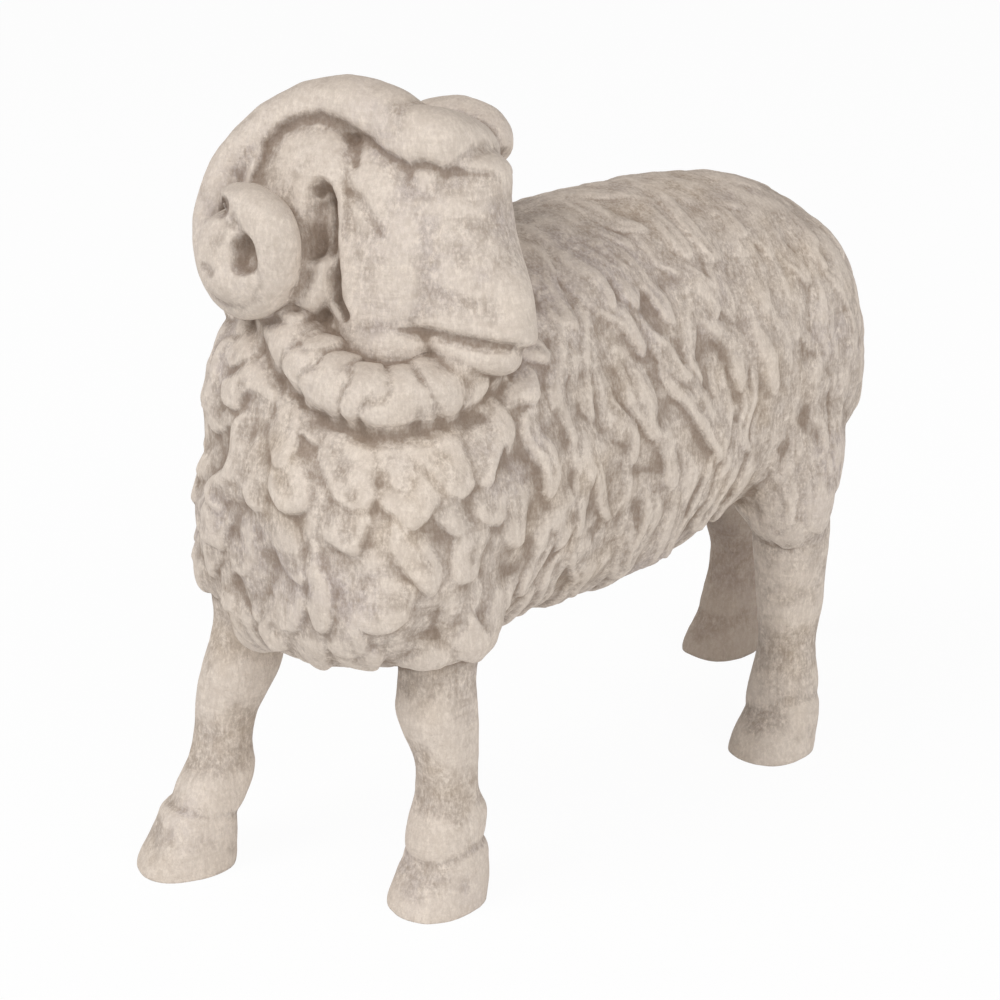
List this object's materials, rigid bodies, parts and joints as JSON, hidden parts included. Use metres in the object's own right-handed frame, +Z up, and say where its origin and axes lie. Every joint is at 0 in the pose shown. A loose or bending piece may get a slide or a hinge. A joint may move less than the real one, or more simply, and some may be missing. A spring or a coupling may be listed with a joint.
{
  "type": "wooden ram figurine",
  "caption": "Carved wooden ram standing on bare legs with its head turned aside, curled horns and a fleece of leaf-like locks, for display.",
  "frame": {"origin": "middle of the footprint, at the level of the hoof soles", "axes": "+Y runs from the chest to the rump, +X to the ram's left, the side its head is turned to, +Z up"},
  "size_m": [0.0452, 0.1184, 0.1],
  "materials": {
    "carved_wood": "bare, matte, with soft grain streaks"
  },
  "bodies": {
    "root": {"ram_figurine": "carved_wood"}
  },
  "joints": []
}
